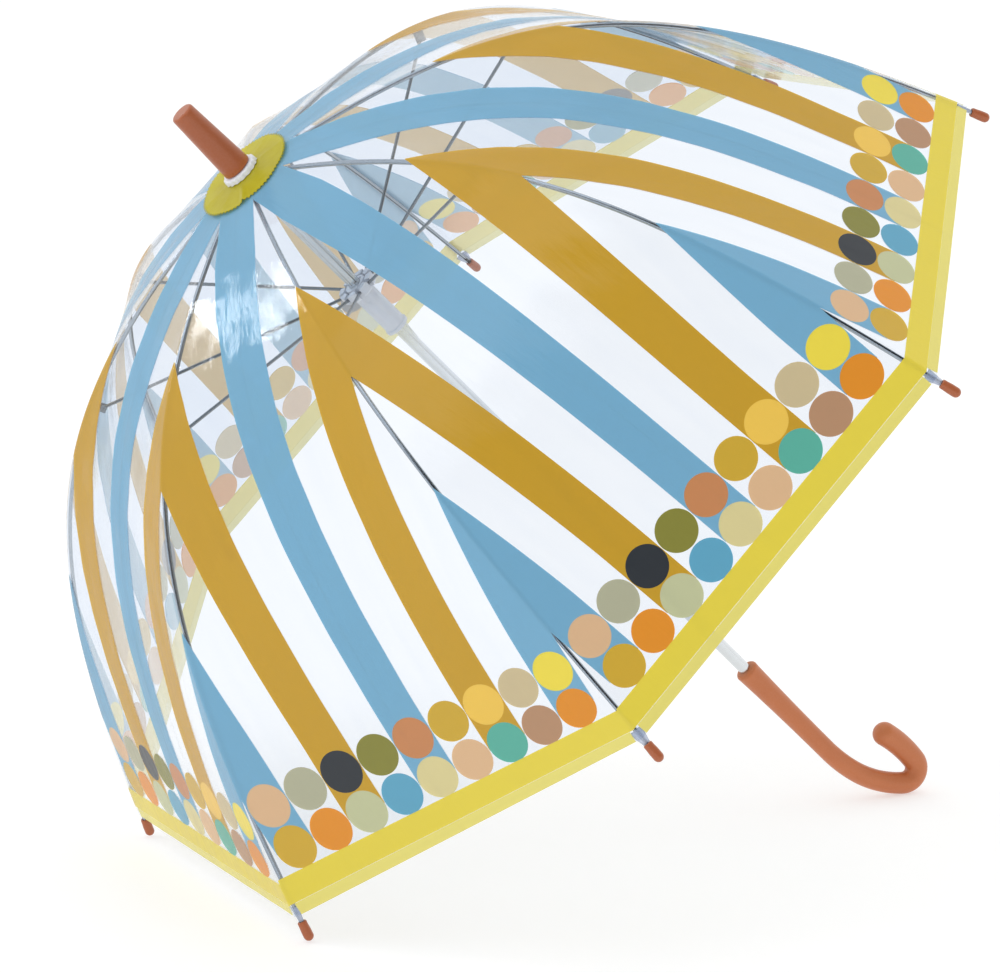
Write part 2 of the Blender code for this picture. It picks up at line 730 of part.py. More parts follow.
make_shaft(lean, FINISHES["steel"])
make_catches(lean, FINISHES["steel"])
make_ferrule(lean, FINISHES["terracotta"])
make_crown(lean, FINISHES["white"], FINISHES["yellow"])
make_top_notch(lean, FINISHES["white"], FINISHES["steel"])
make_handle(lean, FINISHES["terracotta"])
make_runner(lean, FINISHES["white"], FINISHES["steel"])
make_ribs(lean, FINISHES)

low, high = box_of([obj for obj in PARTS.objects if obj.type == "MESH"])
lean.location = (-(low.x + high.x) / 2, -(low.y + high.y) / 2, -low.z)
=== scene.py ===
"""Children's dome umbrella of clear printed film: the finish and fine shape of each piece.

Pieces are shaped upright, with +Z up the shaft to the ferrule and the hem in the plane Z = 0,
and are then leant over into the frame by one matrix.
"""

import json
from math import atan2, cos, hypot, pi, radians, sin

import bmesh
import bpy
from mathutils import Matrix, Vector, noise


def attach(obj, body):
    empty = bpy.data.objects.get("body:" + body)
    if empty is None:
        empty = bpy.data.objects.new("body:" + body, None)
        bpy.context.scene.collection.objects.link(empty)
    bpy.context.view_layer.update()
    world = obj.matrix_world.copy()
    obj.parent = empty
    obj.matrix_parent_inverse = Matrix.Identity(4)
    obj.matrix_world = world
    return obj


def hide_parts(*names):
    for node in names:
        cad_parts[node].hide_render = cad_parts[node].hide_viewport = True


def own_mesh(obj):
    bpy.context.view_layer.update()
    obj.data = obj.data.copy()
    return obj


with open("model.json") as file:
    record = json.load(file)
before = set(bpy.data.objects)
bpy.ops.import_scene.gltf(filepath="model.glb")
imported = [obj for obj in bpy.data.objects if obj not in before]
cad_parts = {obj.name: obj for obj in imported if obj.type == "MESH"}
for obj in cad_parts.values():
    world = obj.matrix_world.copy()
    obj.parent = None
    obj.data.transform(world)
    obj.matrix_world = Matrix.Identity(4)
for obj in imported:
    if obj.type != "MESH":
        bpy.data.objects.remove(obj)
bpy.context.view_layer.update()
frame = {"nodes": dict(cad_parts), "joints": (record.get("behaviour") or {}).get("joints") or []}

# ---------------------------------------------------------------- sizes, in metres and degrees

RIB_COUNT = 8
RIBS = range(1, RIB_COUNT + 1)
HALF = pi / RIB_COUNT
HEM_RADIUS = 0.350
DOME_HEIGHT = 0.281
CROWN_HOLE = 0.010
CROWN_SLOPE = 8.0
HEM_SLOPE = 66.0
CROWN_REACH = 0.185
HEM_REACH = 0.222
HINGE_HEIGHT = 0.27863

FILM = 0.0004
GAP = 0.0003
ROSETTE_FILM = 0.0005
RIB_UNDER_FILM = 0.0024
RIB_PAST_HEM = 0.012
BORE_RADIUS = 0.0043

TIP_RADIUS = 0.0031
TIP_LENGTH = 0.0128
TIP_END = 0.0170
TIP_BORE = 0.0017
TIP_BORE_DEPTH = 0.0085

RING_RADIUS = 0.0125
RING_HEIGHT = 0.0034
RING_BASE = DOME_HEIGHT + FILM / 2 + GAP + ROSETTE_FILM + GAP
ROSETTE_RADIUS = 0.0330
FERRULE_BASE = RING_BASE + RING_HEIGHT + GAP
FERRULE_BASE_RADIUS = 0.0094
FERRULE_TIP_RADIUS = 0.0076
FERRULE_LENGTH = 0.0500
FERRULE_ROUNDING = 0.0018

HANDLE_TOP = -0.205
HANDLE_RADIUS = 0.0079
HANDLE_WAIST_RADIUS = 0.0064
HOOK_END_RADIUS = 0.0081
HANDLE_LIP = 0.0022
HANDLE_STRAIGHT = 0.087
# The hook's bends one after another: radius of the middle line, and turn.
HOOK_BENDS = ((0.121, 12.3), (0.082, 27.5), (0.012, 24.5), (0.0091, 109.4), (0.092, 18.9))
HOOK_STEP = 0.0015

WELD = 1e-6
SHARP = 50.0  # an edge that turns more than this is drawn sharp

# ---------------------------------------------------------------- where the umbrella is

JOINTS = {joint["name"]: joint for joint in frame["joints"]}


def leaning():
    """From the upright umbrella to the frame, from the shaft's axis and the ribs' hinges."""
    up = -Vector(JOINTS["runner_slide"]["axis"]).normalized()
    hook_side = Vector((up.z, 0.0, -up.x))
    hinges = [Vector(JOINTS[f"rib_{k}_hinge"]["pos_m"]) for k in RIBS]
    middle = sum(hinges, Vector()) / RIB_COUNT
    start = middle - up * HINGE_HEIGHT
    rows = [[hook_side[i], (0.0, 1.0, 0.0)[i], up[i], start[i]] for i in range(3)]
    return Matrix(rows + [[0, 0, 0, 1]])


LEAN = leaning()


# ---------------------------------------------------------------- camera


SENSOR_WIDTH = 36.0
LENS = 150.163
CAMERA_RANGE = 100.0
CAMERA_PLACE = (-0.46744, -2.34635, 1.11468)
CAMERA_RIGHT = (0.63220, -0.42285, -0.64924)
CAMERA_UP = (0.75647, 0.15570, 0.63523)
CAMERA_BACK = (-0.16751, -0.89272, 0.41831)


def make_camera():
    """A long lens, placed and turned as seen from the upright umbrella."""
    data = bpy.data.cameras.new("camera")
    data.sensor_width = SENSOR_WIDTH
    data.lens = LENS
    data.clip_end = CAMERA_RANGE
    camera = bpy.data.objects.new("camera", data)
    bpy.context.scene.collection.objects.link(camera)
    columns = (CAMERA_RIGHT, CAMERA_UP, CAMERA_BACK, CAMERA_PLACE)
    rows = [[column[i] for column in columns] for i in range(3)]
    camera.matrix_world = LEAN @ Matrix(rows + [[0, 0, 0, 1]])
    bpy.context.scene.camera = camera


make_camera()


def azimuth(k):
    """Direction of rib k round the shaft."""
    return 2 * HALF * (k - 0.5)


def to_rib(k):
    """From the plane Y = 0, radius along +X, to the plane of rib k."""
    return LEAN @ Matrix.Rotation(azimuth(k), 4, "Z")


# ---------------------------------------------------------------- the dome's lines


def bezier(t):
    """Radius and height of the film above a rib: 0 at the crown, 1 at the hem."""
    s = 1.0 - t
    crown = Vector((CROWN_HOLE, DOME_HEIGHT))
    hem = Vector((HEM_RADIUS, 0.0))
    out = Vector((cos(radians(CROWN_SLOPE)), -sin(radians(CROWN_SLOPE)))) * CROWN_REACH
    back = Vector((cos(radians(HEM_SLOPE)), -sin(radians(HEM_SLOPE)))) * HEM_REACH
    outer = (crown + out) * (3 * s * s * t) + (hem - back) * (3 * s * t * t)
    return crown * s**3 + outer + hem * t**3


LINE_STEPS = 2000


def spaced_shares(count, across):
    """Shares t of the line that are evenly spaced, measured on the gore's middle or its rib."""
    fine = [bezier(i / LINE_STEPS) for i in range(LINE_STEPS + 1)]
    lengths = [0.0]
    for a, b in zip(fine, fine[1:]):
        lengths.append(lengths[-1] + hypot((b.x - a.x) * across, b.y - a.y))
    shares = []
    i = 0
    for step in range(count + 1):
        goal = lengths[-1] * step / count
        while i < LINE_STEPS - 1 and lengths[i + 1] < goal:
            i += 1
        part = (goal - lengths[i]) / (lengths[i + 1] - lengths[i])
        shares.append((i + min(1.0, max(0.0, part))) / LINE_STEPS)
    return shares, lengths[-1]


FILM_ROWS = 96
RIB_STEPS = 60
FILM_SHARES, GORE_LENGTH = spaced_shares(FILM_ROWS, cos(HALF))
RIB_SHARES, _ = spaced_shares(RIB_STEPS, 1.0)


def rib_station(t, inwards=RIB_UNDER_FILM):
    """Point on the rib's middle line, and the unit directions along it and out of the dome."""
    step = 0.002
    ahead = bezier(min(1.0, t + step)) - bezier(max(0.0, t - step))
    along = Vector((ahead.x, 0.0, ahead.y)).normalized()
    out = Vector((-along.z, 0.0, along.x))
    point = bezier(t)
    return Vector((point.x, 0.0, point.y)) - out * inwards, along, out


def section_matrix(point, along, out):
    """Section plane: its x is across the rib, its y out of the dome, its z along the rib."""
    side = out.cross(along)
    rows = [[side[i], out[i], along[i], point[i]] for i in range(3)]
    return Matrix(rows + [[0, 0, 0, 1]])


def film_height(x, y):
    """Height of the film over a point near the crown."""
    turn = atan2(y, x) % (2 * HALF) - HALF
    corner = hypot(x, y) * cos(HALF - abs(turn)) / cos(HALF)
    low, high = 0.0, 1.0
    for _ in range(30):
        t = (low + high) / 2
        if bezier(t).x < corner:
            low = t
        else:
            high = t
    return bezier(low).y


# ---------------------------------------------------------------- shaping


def piece(name, bm, matrix, finish, smooth=35.0):
    """A finished piece from this bmesh, moved into the frame."""
    mesh = bpy.data.meshes.new(name)
    bm.to_mesh(mesh)
    bm.free()
    mesh.transform(matrix)
    mesh.shade_smooth()
    if smooth:
        mesh.set_sharp_from_angle(angle=radians(smooth))
    for one in finish if isinstance(finish, list) else [finish]:
        mesh.materials.append(one)
    obj = bpy.data.objects.new(name, mesh)
    bpy.context.scene.collection.objects.link(obj)
    return obj


def settle(bm):
    """Weld points that meet, and turn all faces outwards."""
    bmesh.ops.remove_doubles(bm, verts=bm.verts, dist=WELD)
    bmesh.ops.recalc_face_normals(bm, faces=bm.faces)


def spun(outline, steps=48, closed=False):
    """A turned shape from an outline of (radius, height)."""
    bm = bmesh.new()
    verts = [bm.verts.new((r, 0.0, z)) for r, z in outline]
    edges = [bm.edges.new(pair) for pair in zip(verts, verts[1:])]
    if closed:
        edges.append(bm.edges.new((verts[-1], verts[0])))
    bmesh.ops.spin(
        bm,
        geom=verts + edges,
        cent=(0, 0, 0),
        axis=(0, 0, 1),
        angle=2 * pi,
        steps=steps,
        use_merge=True,
    )
    settle(bm)
    return bm


def swept(section, stations):
    """A section, given as (across, out) points, carried along these matrices."""
    bm = bmesh.new()
    verts = [bm.verts.new((x, y, 0.0)) for x, y in section]
    face = bm.faces.new(verts)
    bmesh.ops.transform(bm, matrix=stations[0], verts=verts)
    for before, after in zip(stations, stations[1:]):
        made = bmesh.ops.extrude_face_region(bm, geom=[face])
        face = next(g for g in made["geom"] if isinstance(g, bmesh.types.BMFace))
        bmesh.ops.transform(bm, matrix=after @ before.inverted(), verts=face.verts[:])
    settle(bm)
    return bm, face


def circle(radius, count):
    turns = [2 * pi * i / count for i in range(count)]
    return [(radius * cos(a), radius * sin(a)) for a in turns]


def channel(radius, leg, wall, count=8):
    """A fluted bar's section: a half round back, with two legs that point into the dome."""
    turns = [pi * i / count for i in range(count + 1)]
    outer = [(radius * cos(a), radius * sin(a)) for a in turns]
    inner = [((radius - wall) * cos(a), (radius - wall) * sin(a)) for a in reversed(turns)]
    left_foot = [(-radius, -leg), (wall - radius, -leg)]
    return [(radius, -leg)] + outer + left_foot + inner + [(radius - wall, -leg)]


FLAT_WITHIN = 1.0
ROUNDED_ABOVE = 40.0


def smoothed_copy(node, name, finish, edge=0.00015):
    """The CAD node's shape with welded, rounded edges."""
    source = frame["nodes"][node].data
    bm = bmesh.new()
    bm.from_mesh(source)
    bmesh.ops.remove_doubles(bm, verts=bm.verts, dist=2 * WELD)
    flat = radians(FLAT_WITHIN)
    bmesh.ops.dissolve_limit(
        bm, angle_limit=flat, use_dissolve_boundaries=False, verts=bm.verts, edges=bm.edges
    )
    obj = piece(name, bm, Matrix(), finish, smooth=ROUNDED_ABOVE)
    if edge:
        round_off = obj.modifiers.new("rounded edges", "BEVEL")
        round_off.width = edge
        round_off.segments = 2
        round_off.limit_method = "ANGLE"
        round_off.angle_limit = radians(ROUNDED_ABOVE)
        round_off.harden_normals = True
    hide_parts(node)
    return obj


# ---------------------------------------------------------------- finishes


GRAZING_POWER = 5.0
GRAZING_GLOSS = 0.75


class Finish:
    """A material's nodes, added one after another."""

    def __init__(self, name):
        self.material = bpy.data.materials.new(name)
        self.material.use_nodes = True
        self.tree = self.material.node_tree
        self.tree.nodes.clear()

    def add(self, kind, inputs=None, **settings):
        node = self.tree.nodes.new("ShaderNode" + kind)
        for key, value in settings.items():
            setattr(node, key, value)
        for key, value in (inputs or {}).items():
            if isinstance(value, bpy.types.NodeSocket):
                self.tree.links.new(value, node.inputs[key])
            else:
                node.inputs[key].default_value = value
        return node

    def math(self, operation, a, b=0.0):
        return self.add("Math", {0: a, 1: b}, operation=operation).outputs[0]

    def product(self, a, b):
        return self.math("MULTIPLY", a, b)

    def between(self, value, low, high):
        above = self.math("GREATER_THAN", value, low)
        below = self.math("LESS_THAN", value, high)
        return self.product(above, below)

    def mix_colour(self, share, a, b):
        """Sockets 6 and 7 of a mix are its two colours, and its third output is their mix."""
        return self.add("Mix", {0: share, 6: a, 7: b}, data_type="RGBA").outputs[2]

    def mix_shader(self, share, a, b):
        return self.add("MixShader", {0: share, 1: a, 2: b}).outputs[0]

    def noise(self, vector, scale, detail=2.0, roughness=0.5):
        inputs = {"Vector": vector, "Scale": scale, "Detail": detail, "Roughness": roughness}
        return self.add("TexNoise", inputs).outputs["Fac"]

    def spread(self, value, low, high):
        """A 0 to 1 value as one from low to high."""
        inputs = {"Value": value, "To Min": low, "To Max": high}
        return self.add("MapRange", inputs).outputs["Result"]

    def stretched(self, vector, scale):
        return self.add("Mapping", {"Vector": vector, "Scale": scale}).outputs[0]

    def bump(self, height, distance, strength, below=None):
        inputs = {"Height": height, "Distance": distance, "Strength": strength}
        if below is not None:
            inputs["Normal"] = below
        return self.add("Bump", inputs).outputs["Normal"]

    def edge_gloss(self, normal, straight_on):
        """Share of light that a thin clear skin mirrors, the same from either side of it."""
        facing = self.add("LayerWeight", {"Blend": 0.5, "Normal": normal}).outputs["Facing"]
        grazing = self.math("POWER", facing, GRAZING_POWER)
        return self.spread(grazing, straight_on, GRAZING_GLOSS)

    def done(self, surface):
        output = self.add("OutputMaterial")
        self.tree.links.new(surface, output.inputs["Surface"])
        return self.material


def linear(code):
    """Linear colour of a hex code."""
    parts = [int(code[i : i + 2], 16) / 255 for i in (0, 2, 4)]
    light = [p / 12.92 if p <= 0.04045 else ((p + 0.055) / 1.055) ** 2.4 for p in parts]
    return tuple(light) + (1.0,)


def whiter(colour, share):
    """This colour with a share of white in it."""
    return tuple(c + (1.0 - c) * share for c in colour[:3]) + (1.0,)


BLUE = linear("8CC3DF")
OCHRE = linear("DAB33C")
BAND_YELLOW = linear("F2E45C")
HEM_YELLOW = linear("F4EC90")
UPPER_DOTS = (
    "EBCCA6", "C8C8AF", "41464C", "9E9C4C", "DB9F6D", "DFBF49", "F8D968", "DED0AB", "F7E95E"
)
LOWER_DOTS = (
    "E2C149", "F0A93D", "D6D9B4", "75BDD8", "EAE1AE", "ECCDA6", "70C7B6", "CCA583", "EFA738"
)

# The print has nine columns, dots in each and stripes in every other one. Heights are from the
# hem, up the middle of the gore.
SIDE_COLUMNS = 4
COLUMNS = 2 * SIDE_COLUMNS + 1
PITCH = 0.0269
STRIPE_WIDTH = 0.0268
DOT_WIDTH = 0.0261
DOT_HEIGHT = 0.0247
LOWER_ROW = 0.0335
UPPER_ROW = 0.0590
BAND_LOW = 0.0069
BAND_TOP = 0.0215
STRIP_TOP = 0.0067
STRIP_END = 0.1294
FILM_GLOSS = 0.028
CLEAR_DARKER = (0.900, 0.924, 0.959, 1.0)
CLEAR_LIGHTER = (0.933, 0.950, 0.972, 1.0)
INK_SHADE = (0.30, 0.30, 0.30, 1.0)


def palette(finish, share, codes, paler):
    """One flat colour for each column of the print."""
    node = finish.add("ValToRGB", {"Fac": share})
    ramp = node.color_ramp
    ramp.interpolation = "CONSTANT"
    for i, code in enumerate(codes):
        stop = ramp.elements[i] if i < 2 else ramp.elements.new(i / len(codes))
        stop.position = i / len(codes)
        stop.color = whiter(linear(code), paler)
    return node.outputs["Color"]


def printed(finish, paler=0.0):
    """The print's coverage, 0 or 1, and its colour, from the film's own print coordinates."""
    place = finish.add("UVMap", uv_map="print").outputs["UV"]
    apart = finish.add("SeparateXYZ", {0: place})
    across, up = apart.outputs[0], apart.outputs[1]
    column = finish.math("ROUND", finish.math("DIVIDE", across, PITCH))
    inside = finish.math("SUBTRACT", across, finish.math("MULTIPLY", column, PITCH))
    from_left = finish.math("ADD", column, SIDE_COLUMNS)
    share = finish.math("DIVIDE", finish.math("ADD", from_left, 0.5), COLUMNS)
    printed_column = finish.between(column, -COLUMNS / 2, COLUMNS / 2)

    width = finish.math("LESS_THAN", finish.math("ABSOLUTE", inside), STRIPE_WIDTH / 2)
    of_four = finish.math("MODULO", from_left, 4.0)
    is_ochre = finish.between(of_four, 1.5, 2.5)
    even = finish.math("LESS_THAN", finish.math("MODULO", from_left, 2.0), 0.5)
    stripe = finish.product(finish.product(width, even), printed_column)
    cover = finish.product(stripe, finish.math("GREATER_THAN", up, LOWER_ROW))
    colour = finish.mix_colour(is_ochre, whiter(BLUE, paler), whiter(OCHRE, paler))

    for row, codes in ((LOWER_ROW, LOWER_DOTS), (UPPER_ROW, UPPER_DOTS)):
        x = finish.math("DIVIDE", inside, DOT_WIDTH / 2)
        y = finish.math("DIVIDE", finish.math("SUBTRACT", up, row), DOT_HEIGHT / 2)
        far = finish.math("ADD", finish.product(x, x), finish.product(y, y))
        dot = finish.product(finish.math("LESS_THAN", far, 1.0), printed_column)
        colour = finish.mix_colour(dot, colour, palette(finish, share, codes, paler))
        cover = finish.math("MAXIMUM", cover, dot)

    band = finish.between(up, BAND_LOW, BAND_TOP)
    colour = finish.mix_colour(band, colour, whiter(BAND_YELLOW, paler))
    short_of_ribs = finish.math("LESS_THAN", finish.math("ABSOLUTE", across), STRIP_END)
    strip = finish.product(finish.math("LESS_THAN", up, STRIP_TOP), short_of_ribs)
    colour = finish.mix_colour(strip, colour, whiter(HEM_YELLOW, paler))
    cover = finish.math("MAXIMUM", cover, finish.math("MAXIMUM", band, strip))
    return cover, colour, place


def film_finish(name, paler, ink_body):
    """Clear vinyl film with translucent inks, of which the share ink_body hides what's behind."""
    f = Finish(name)
    cover, colour, place = printed(f, paler)
    long_waves = f.stretched(place, (1.0, 0.16, 1.0))
    waves = f.noise(long_waves, 95.0)
    fine = f.noise(long_waves, 420.0, 3.0, 0.6)
    normal = f.bump(waves, 0.0009, 0.55)
    normal = f.bump(fine, 0.00038, 0.45, normal)
    tint = f.mix_colour(waves, CLEAR_DARKER, CLEAR_LIGHTER)
    clear = f.add("BsdfTransparent", {"Color": tint}).outputs[0]
    gloss = f.add("BsdfGlossy", {"Color": (1, 1, 1, 1), "Roughness": 0.022, "Normal": normal})
    film = f.mix_shader(f.edge_gloss(normal, FILM_GLOSS), clear, gloss.outputs[0])
    uneven = f.spread(f.noise(place, 30.0), 0.0, 0.05)
    ink_colour = f.mix_colour(uneven, colour, INK_SHADE)
    look = {"Base Color": ink_colour, "Roughness": 0.06, "IOR": 1.45, "Normal": normal}
    body = f.add("BsdfPrincipled", look).outputs[0]
    through = f.add("BsdfTransparent", {"Color": colour}).outputs[0]
    return f.done(f.mix_shader(cover, film, f.mix_shader(ink_body, through, body)))


GRAIN = 0.00004


def plastic_finish(name, colour, deeper, roughness, gloss=0.0):
    """Moulded plastic: slow colour drift, a fine moulded grain, small scuffs that dull it."""
    f = Finish(name)
    place = f.add("TexCoord").outputs["Object"]
    drift = f.noise(place, 22.0, 3.0, 0.55)
    speck = f.noise(place, 900.0)
    scuff = f.noise(f.stretched(place, (1.0, 1.0, 0.25)), 240.0, 4.0, 0.7)
    base = f.mix_colour(f.spread(drift, 0.0, 1.0), colour, deeper)
    base = f.mix_colour(f.spread(speck, 0.0, 0.10), base, whiter(colour, 0.35))
    normal = f.bump(speck, GRAIN, 0.6)
    look = {
        "Base Color": base,
        "Roughness": f.math("ADD", f.spread(scuff, -0.10, 0.12), roughness),
        "IOR": 1.48,
        "Coat Weight": gloss,
        "Coat Roughness": 0.15,
        "Normal": f.bump(scuff, 2 * GRAIN, 0.25, normal),
    }
    return f.done(f.add("BsdfPrincipled", look).outputs[0])


LEAN_ANGLE = -atan2(LEAN[0][2], LEAN[2][2])


def steel_finish(name, colour, roughness, stain=0.15):
    """Drawn steel: fine lines along the shaft, and a faint uneven tarnish."""
    f = Finish(name)
    place = f.add("TexCoord").outputs["Object"]
    upright = f.add("Mapping", {"Vector": place, "Rotation": (0.0, LEAN_ANGLE, 0.0)}).outputs[0]
    lines = f.noise(f.stretched(upright, (1.0, 1.0, 0.02)), 2600.0)
    tarnish = f.noise(place, 60.0, 4.0, 0.6)
    darker = tuple(c * 0.72 for c in colour[:3]) + (1.0,)
    look = {
        "Base Color": f.mix_colour(f.spread(tarnish, 0.0, stain * 3), colour, darker),
        "Metallic": 1.0,
        "Roughness": f.math("ADD", f.spread(lines, -0.06, 0.08), roughness),
        "Normal": f.bump(lines, 0.00002, 0.35),
    }
    return f.done(f.add("BsdfPrincipled", look).outputs[0])


def yellow_film_finish():
    """Soft yellow vinyl of the rosette: half see-through, faintly creased."""
    f = Finish("yellow_film")
    place = f.add("TexCoord").outputs["Object"]
    cloud = f.noise(place, 160.0, 3.0, 0.6)
    base = f.mix_colour(cloud, linear("DCD02A"), linear("F2E84E"))
    normal = f.bump(cloud, 0.0006, 0.5)
    normal = f.bump(f.noise(place, 900.0), 0.00008, 0.4, normal)
    look = {"Base Color": base, "Roughness": 0.28, "IOR": 1.45, "Normal": normal}
    body = f.add("BsdfPrincipled", look).outputs[0]
    through = f.add("BsdfTransparent", {"Color": linear("E2D850")}).outputs[0]
    return f.done(f.mix_shader(0.50, through, body))


def clear_tab_finish():
    """Thick clear vinyl of the corner tabs: milky where it is folded double."""
    f = Finish("clear_tab")
    place = f.add("TexCoord").outputs["Object"]
    cloud = f.noise(place, 420.0, 3.0, 0.6)
    normal = f.bump(cloud, 0.0004, 0.5)
    look = {"Base Color": linear("C9D0E2"), "Roughness": 0.2, "IOR": 1.45, "Normal": normal}
    body = f.add("BsdfPrincipled", look).outputs[0]
    through = f.add("BsdfTransparent", {"Color": (0.9, 0.93, 0.98, 1.0)}).outputs[0]
    return f.done(f.mix_shader(f.spread(cloud, 0.40, 0.75), through, body))


FILM_OUTSIDE = film_finish("printed_film", 0.0, 0.62)
# The inside skin repeats the film's own print in whiter inks that hide more of what is behind them;
# this paleness is painted light, a lightened copy of the print standing in for the brighter look of
# the dome's inside.
FILM_INSIDE = film_finish("printed_film_inside", 0.42, 0.85)
TERRACOTTA = plastic_finish("terracotta_plastic", linear("C87441"), linear("BA6838"), 0.38)
GLOSSY_TERRACOTTA = plastic_finish(
    "glossy_terracotta_plastic", linear("AE5B2C"), linear("9E5026"), 0.30
)
WHITE = plastic_finish("white_plastic", linear("E8EAF0"), linear("D8DCE6"), 0.30, gloss=0.3)
BRIGHT_STEEL = steel_finish("bright_steel", linear("E2E6E8"), 0.16)
RIB_STEEL = steel_finish("rib_steel", linear("B4BBC0"), 0.12)
DARK_STEEL = steel_finish("dark_steel", linear("8A9094"), 0.20, stain=0.25)
YELLOW_FILM = yellow_film_finish()
CLEAR_TAB = clear_tab_finish()

# ---------------------------------------------------------------- film


FILM_COLUMNS = 20
COLUMN_CROWDING = 1.25  # how much more closely the film's points lie beside the rib
OVER_RIB = 0.08  # share of half a gore in which the film turns over the rib
SAG = 0.0030
SAG_POWER = 1.2
RIPPLE = 0.0005
RIPPLE_LEAST = 0.35
RIPPLES_PER_M = (60, 60, 14)
FILM_SHARP = 60.0

SPREAD_FROM = 0.080
SPREAD_OVER = 0.300
SPREAD_BY = 0.29
SPREAD_POWER = 1.45
SPREAD_MOST = 1.24
NARROWS_FROM = 0.385
NARROWS_BY = 5.5


def print_spread(up):
    """How much wider than at the hem the print's columns are, this far up the gore."""
    spread = 1.0 + SPREAD_BY * max(0.0, (up - SPREAD_FROM) / SPREAD_OVER) ** SPREAD_POWER
    return min(spread, SPREAD_MOST - NARROWS_BY * max(0.0, up - NARROWS_FROM))


# How the print sits on some of the gores, by the gore's first rib: how far it is moved across,
# how much its rows slope, and how much higher they are.
PRINT_SET = {5: (-0.0052, 0.08, 0.04), 6: (0.0045, 0.0, 0.0)}


def print_spot(gore, across, up, half_width):
    """Print coordinates of a point of a gore, from its distance off the middle and up the film."""
    moved, slope, lift = PRINT_SET.get(gore, (0.0, 0.0, 0.0))
    off = across / half_width
    level = up * (1.0 + slope * off - lift)
    shift = moved * (1.0 - off * off) * half_width / (HEM_RADIUS * sin(HALF))
    return (across + shift) / print_spread(up), level


def film_point(side, t, k):
    """Point of the film of rib k: side is 0 at the rib and -1 or 1 at the middle of a gore."""
    line = bezier(t)
    reach = abs(side)
    way = 1.0 if side >= 0 else -1.0
    rib = Vector((line.x, 0.0, line.y))
    middle = Vector((line.x * cos(HALF) ** 2, way * line.x * cos(HALF) * sin(HALF), line.y))
    point = rib.lerp(middle, reach)
    _, along, out = rib_station(t)
    facing = way * HALF * min(1.0, reach / OVER_RIB)
    outwards = Vector((out.x * cos(facing), out.x * sin(facing), out.z))
    spot = Matrix.Rotation(azimuth(k), 3, "Z") @ point
    taut = sin(pi * t) ** SAG_POWER
    bowl = SAG * taut * (1.0 - (1.0 - reach) ** 2)
    radial = Vector([spot[i] * RIPPLES_PER_M[i] for i in range(3)])
    wave = noise.noise(radial) * RIPPLE * min(1.0, reach * 5) * (RIPPLE_LEAST + taut)
    return point + outwards * (wave - bowl)


def make_film(k):
    """The film from the middle of one gore, over rib k, to the middle of the next."""
    bm = bmesh.new()
    bmesh.ops.create_grid(bm, x_segments=2 * FILM_COLUMNS, y_segments=FILM_ROWS, size=1.0)
    layer = bm.loops.layers.uv.new("print")
    bm.verts.ensure_lookup_table()
    sides = {}
    for vert in bm.verts:
        x = round(vert.co.x, 5)
        row = round((1.0 - vert.co.y) / 2 * FILM_ROWS)
        side = (1 if x >= 0 else -1) * abs(x) ** COLUMN_CROWDING
        sides[vert] = (side, row)
    for face in bm.faces:
        way = 1.0 if face.calc_center_median().x >= 0 else -1.0
        for loop in face.loops:
            side, row = sides[loop.vert]
            line = bezier(FILM_SHARES[row])
            up = GORE_LENGTH * (1.0 - row / FILM_ROWS)
            half_width = line.x * sin(HALF)
            across = -way * half_width * (1.0 - abs(side))
            gore = k if way > 0 else (k - 2) % RIB_COUNT + 1
            loop[layer].uv = print_spot(gore, across, up, half_width)
    for vert, (side, row) in sides.items():
        vert.co = film_point(side, FILM_SHARES[row], k)
    area = sum(face.calc_area() for face in bm.faces)
    bm.normal_update()
    if sum(face.normal.z for face in bm.faces) < 0:
        bmesh.ops.reverse_faces(bm, faces=bm.faces)
    obj = piece(f"film_{k}", bm, to_rib(k), [FILM_OUTSIDE, FILM_INSIDE], smooth=0.0)
    wall = obj.modifiers.new("film", "SOLIDIFY")
    wall.thickness = FILM
    wall.offset = 0.0
    wall.material_offset = 1
    wall.material_offset_rim = 0
    graph = bpy.context.evaluated_depsgraph_get()
    obj.data = bpy.data.meshes.new_from_object(obj.evaluated_get(graph))
    obj.modifiers.clear()
    obj.data.set_sharp_from_angle(angle=radians(FILM_SHARP))
    return obj, area


def fold_film(obj, k):
    """The film rides on rib k, in place of the CAD canopy piece."""
    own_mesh(obj)
    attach(obj, f"rib_{k}")
    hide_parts(f"canopy_{k}")


# ---------------------------------------------------------------- ribs


BAR_RADIUS = 0.00135
BAR_LEG = 0.0010
BAR_WALL = 0.0004


def make_rib(k):
    stations = [section_matrix(*rib_station(t)) for t in RIB_SHARES]
    point, along, out = rib_station(1.0)
    for reach in (0.25, 0.5, 0.75, 1.0):
        stations.append(section_matrix(point + along * RIB_PAST_HEM * reach, along, out))
    bm, _ = swept(channel(BAR_RADIUS, BAR_LEG, BAR_WALL), stations)
    bar = piece(f"rib_bar_{k}", bm, to_rib(k), RIB_STEEL, smooth=SHARP)
    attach(bar, f"rib_{k}")
    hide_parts(f"rib_{k}")
    return bar


ROUND_STEPS = 8
# The tip's side: share of its radius, and height above its mouth.
TIP_SIDE = ((1.0, TIP_LENGTH * 0.45), (0.93, 0.0026), (0.93, 0.0010), (0.90, 0.0004), (0.80, 0.0))


